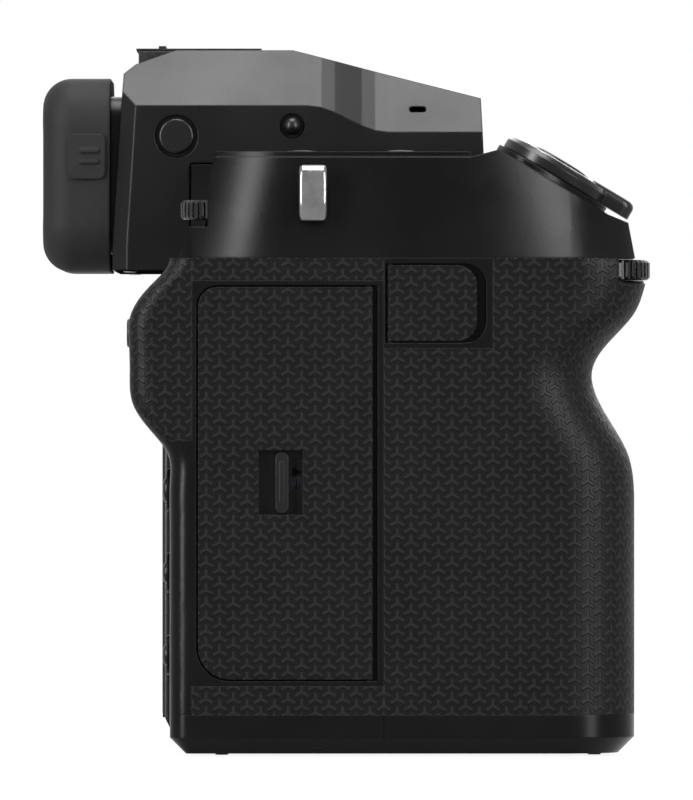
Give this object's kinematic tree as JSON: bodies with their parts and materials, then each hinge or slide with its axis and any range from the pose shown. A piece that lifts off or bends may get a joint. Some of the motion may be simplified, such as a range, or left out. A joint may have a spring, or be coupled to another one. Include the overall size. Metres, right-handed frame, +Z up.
{
  "type": "medium format digital camera",
  "caption": "Mirrorless medium format digital camera body with hand grip, tilting monitor, open lens mount and a detachable viewfinder that slides off to the rear.",
  "frame": {"origin": "on the base plane, under the optical axis, in the base's flat underside", "axes": "+X towards the user's left (connector side), -X the grip side, -Y the front (lens side), +Y the rear, +Z up"},
  "size_m": [0.1524, 0.0997, 0.1167],
  "materials": {
    "casing_paint": "fine crackle satin",
    "rubber": "pebbled matt",
    "door_plastic": "matt",
    "finder_paint": "satin",
    "button_metal": "satin anodised",
    "button_plastic": "soft gloss",
    "steel": "bright",
    "black_metal": "matt black",
    "inner_metal": "cast, satin",
    "contacts": "black with gold pins",
    "circuit": "green solder mask",
    "inner_plastic": "matt",
    "sensor": "coated glass over silicon",
    "screen": "glossy glass",
    "lens_glass": "coated"
  },
  "bodies": {
    "camera": {"front_cover": "casing_paint", "rear_cover": "casing_paint", "rubber_skin": "rubber", "thumb_rest": "rubber", "top_cover": "casing_paint", "base_cover": "casing_paint", "tripod_socket": "steel", "mount_ring": "steel", "screws": "steel", "lens_contacts": "contacts", "chassis": "inner_metal", "shutter_frame": "black_metal", "main_board": "circuit", "card_slots": "inner_plastic", "battery": "inner_plastic", "side_jacks": "inner_plastic", "strap_lugs": "steel", "sub_display": "screen"},
    "viewfinder": {"viewfinder_shell": "finder_paint", "eyepiece_lens": "lens_glass", "eyecup": "rubber", "accessory_shoe": "steel"},
    "shutter_button": {"shutter_button": "button_metal"},
    "power_lever": {"power_lever": "button_metal"},
    "front_dial": {"front_dial": "button_metal"},
    "rear_dial": {"rear_dial": "button_metal"},
    "mode_dial": {"mode_dial": "button_metal"},
    "select_lever": {"select_lever": "button_metal"},
    "front_top_button": {"front_top_button": "button_plastic"},
    "rear_top_button": {"rear_top_button": "button_plastic"},
    "card_door": {"card_door": "door_plastic"},
    "card_latch": {"card_latch": "door_plastic"},
    "terminal_flap": {"terminal_flap": "rubber"},
    "lower_terminal_cover": {"lower_terminal_cover": "rubber"},
    "upper_terminal_cover": {"upper_terminal_cover": "rubber"},
    "battery_door": {"battery_door": "door_plastic"},
    "battery_latch": {"battery_latch": "door_plastic"},
    "lens_release": {"lens_release": "button_plastic"},
    "lens_lock_pin": {"lens_lock_pin": "steel"},
    "first_curtain_lead": {"first_curtain_lead": "black_metal"},
    "first_curtain_trail": {"first_curtain_trail": "black_metal"},
    "second_curtain_lead": {"second_curtain_lead": "black_metal"},
    "second_curtain_trail": {"second_curtain_trail": "black_metal"},
    "sensor_carriage": {"sensor_carriage": "inner_metal"},
    "sensor_platform": {"sensor_platform": "sensor"},
    "monitor_swing_frame": {"monitor_swing_frame": "black_metal"},
    "monitor_arm": {"monitor_arm": "black_metal"},
    "monitor_panel": {"monitor_panel": "screen"},
    "menu_button": {"menu_button": "button_plastic"},
    "display_button": {"display_button": "button_plastic"},
    "playback_button": {"playback_button": "button_plastic"},
    "focus_on_button": {"focus_on_button": "button_plastic"},
    "quick_button": {"quick_button": "button_plastic"},
    "stick_ring": {"stick_ring": "button_plastic"},
    "focus_stick": {"focus_stick": "button_plastic"},
    "view_button": {"view_button": "button_plastic"},
    "finder_catch_grip_side": {"finder_catch_grip_side": "button_plastic"},
    "finder_catch_left_side": {"finder_catch_left_side": "button_plastic"},
    "diopter_dial": {"diopter_dial": "button_metal"},
    "shoe_cover": {"shoe_cover": "black_metal"}
  },
  "joints": [
    {"name": "shutter_press", "type": "slide", "parent": "camera", "child": "shutter_button", "axis": [0, 0.512, -0.859], "range_m": [0, 0.0008], "stiffness_N_per_m": 400},
    {"name": "power_turn", "type": "hinge", "parent": "camera", "child": "power_lever", "pos_m": [-0.069, -0.0274, 0.09239], "axis": [0, -0.512, 0.859], "range_deg": [0, 35]},
    {"name": "front_dial_turn", "type": "hinge", "parent": "camera", "child": "front_dial", "pos_m": [-0.069, -0.0356, 0.078], "axis": [0, 0, 1], "continuous": true},
    {"name": "rear_dial_turn", "type": "hinge", "parent": "camera", "child": "rear_dial", "pos_m": [-0.071, 0.0235, 0.0877], "axis": [0, 0, 1], "continuous": true},
    {"name": "mode_dial_turn", "type": "hinge", "parent": "camera", "child": "mode_dial", "pos_m": [0.047, 0.014, 0.0954], "axis": [0, 0, 1], "continuous": true},
    {"name": "select_lever_turn", "type": "hinge", "parent": "camera", "child": "select_lever", "pos_m": [0.047, 0.014, 0.091], "axis": [0, 0, 1], "range_deg": [0, 40]},
    {"name": "front_top_press", "type": "slide", "parent": "camera", "child": "front_top_button", "axis": [0, 0, -1], "range_m": [0, 0.0005], "stiffness_N_per_m": 400},
    {"name": "rear_top_press", "type": "slide", "parent": "camera", "child": "rear_top_button", "axis": [0, 0, -1], "range_m": [0, 0.0005], "stiffness_N_per_m": 400},
    {"name": "card_door_hinge", "type": "hinge", "parent": "camera", "child": "card_door", "pos_m": [-0.0834, 0.00195, 0.0436], "axis": [0, 0, 1], "range_deg": [0, 85]},
    {"name": "card_latch_slide", "type": "slide", "parent": "card_door", "child": "card_latch", "axis": [0, -1, 0], "range_m": [0, 0.002]},
    {"name": "terminal_flap_hinge", "type": "hinge", "parent": "camera", "child": "terminal_flap", "pos_m": [-0.08375, -0.00143, 0.0726], "axis": [0, 0, -1], "range_deg": [0, 80]},
    {"name": "lower_cover_hinge", "type": "hinge", "parent": "camera", "child": "lower_terminal_cover", "pos_m": [0.0615, 0.006, 0.0265], "axis": [0, 0, -1], "range_deg": [0, 100]},
    {"name": "upper_cover_hinge", "type": "hinge", "parent": "camera", "child": "upper_terminal_cover", "pos_m": [0.0615, 0.006, 0.0575], "axis": [0, 0, -1], "range_deg": [0, 100]},
    {"name": "battery_door_hinge", "type": "hinge", "parent": "camera", "child": "battery_door", "pos_m": [-0.07015, 0.00985, 0.0011], "axis": [1, 0, 0], "range_deg": [0, 85]},
    {"name": "battery_latch_slide", "type": "slide", "parent": "battery_door", "child": "battery_latch", "axis": [0, 1, 0], "range_m": [0, 0.002]},
    {"name": "lens_release_press", "type": "slide", "parent": "camera", "child": "lens_release", "axis": [0, 1, 0], "range_m": [0, 0.0012], "stiffness_N_per_m": 400},
    {"name": "lens_pin_slide", "type": "slide", "parent": "camera", "child": "lens_lock_pin", "axis": [0, 1, 0], "range_m": [0, 0.0012]},
    {"name": "first_lead_slide", "type": "slide", "parent": "camera", "child": "first_curtain_lead", "axis": [0, 0, 1], "range_m": [0, 0.0335]},
    {"name": "first_trail_slide", "type": "slide", "parent": "camera", "child": "first_curtain_trail", "axis": [0, 0, 1], "range_m": [0, 0.01675]},
    {"name": "second_lead_slide", "type": "slide", "parent": "camera", "child": "second_curtain_lead", "axis": [0, 0, -1], "range_m": [0, 0.0335]},
    {"name": "second_trail_slide", "type": "slide", "parent": "camera", "child": "second_curtain_trail", "axis": [0, 0, -1], "range_m": [0, 0.01675]},
    {"name": "sensor_shift_x", "type": "slide", "parent": "camera", "child": "sensor_carriage", "axis": [1, 0, 0], "range_m": [-0.002, 0.002]},
    {"name": "sensor_shift_z", "type": "slide", "parent": "sensor_carriage", "child": "sensor_platform", "axis": [0, 0, 1], "range_m": [-0.002, 0.002]},
    {"name": "monitor_swing", "type": "hinge", "parent": "camera", "child": "monitor_swing_frame", "pos_m": [-0.0375, 0.031, 0.029], "axis": [0, 0, 1], "range_deg": [0, 60]},
    {"name": "monitor_lean", "type": "hinge", "parent": "monitor_swing_frame", "child": "monitor_arm", "pos_m": [0.004, 0.0291, 0.0036], "axis": [-1, 0, 0], "range_deg": [0, 45]},
    {"name": "monitor_tilt", "type": "hinge", "parent": "monitor_arm", "child": "monitor_panel", "pos_m": [0.004, 0.0348, 0.055], "axis": [1, 0, 0], "range_deg": [0, 90]},
    {"name": "menu_press", "type": "slide", "parent": "camera", "child": "menu_button", "axis": [0, -1, 0], "range_m": [0, 0.0004], "stiffness_N_per_m": 400},
    {"name": "display_press", "type": "slide", "parent": "camera", "child": "display_button", "axis": [0, -1, 0], "range_m": [0, 0.0004], "stiffness_N_per_m": 400},
    {"name": "playback_press", "type": "slide", "parent": "camera", "child": "playback_button", "axis": [0, -1, 0], "range_m": [0, 0.0004], "stiffness_N_per_m": 400},
    {"name": "focus_on_press", "type": "slide", "parent": "camera", "child": "focus_on_button", "axis": [0, -1, 0], "range_m": [0, 0.0004], "stiffness_N_per_m": 400},
    {"name": "quick_press", "type": "slide", "parent": "camera", "child": "quick_button", "axis": [0, -1, 0], "range_m": [0, 0.0004], "stiffness_N_per_m": 400},
    {"name": "stick_up_down", "type": "hinge", "parent": "camera", "child": "stick_ring", "pos_m": [-0.045, 0.0321, 0.063], "axis": [1, 0, 0], "range_deg": [-8, 8], "stiffness_Nm_per_rad": 0.02},
    {"name": "stick_left_right", "type": "hinge", "parent": "stick_ring", "child": "focus_stick", "pos_m": [-0.045, 0.0321, 0.063], "axis": [0, 0, 1], "range_deg": [-8, 8], "stiffness_Nm_per_rad": 0.02},
    {"name": "viewfinder_slide", "type": "slide", "parent": "camera", "child": "viewfinder", "axis": [0, 1, 0], "range_m": [0, 0.04]},
    {"name": "view_press", "type": "slide", "parent": "viewfinder", "child": "view_button", "axis": [1, 0, 0], "range_m": [0, 0.0004], "stiffness_N_per_m": 400},
    {"name": "catch_press_grip_side", "type": "slide", "parent": "viewfinder", "child": "finder_catch_grip_side", "axis": [1, 0, 0], "range_m": [0, 0.0004], "stiffness_N_per_m": 400},
    {"name": "catch_press_left_side", "type": "slide", "parent": "viewfinder", "child": "finder_catch_left_side", "axis": [-1, 0, 0], "range_m": [0, 0.0004], "stiffness_N_per_m": 400},
    {"name": "diopter_turn", "type": "hinge", "parent": "viewfinder", "child": "diopter_dial", "pos_m": [0.0277, 0.037, 0.098], "axis": [1, 0, 0], "range_deg": [-150, 150]},
    {"name": "shoe_cover_slide", "type": "slide", "parent": "viewfinder", "child": "shoe_cover", "axis": [0, 1, 0], "range_m": [0, 0.02]}
  ],
  "couplings": [
    {"joint": "lens_pin_slide", "follows": "lens_release_press", "ratio": 1},
    {"joint": "first_trail_slide", "follows": "first_lead_slide", "ratio": 0.5},
    {"joint": "second_trail_slide", "follows": "second_lead_slide", "ratio": 0.5}
  ]
}
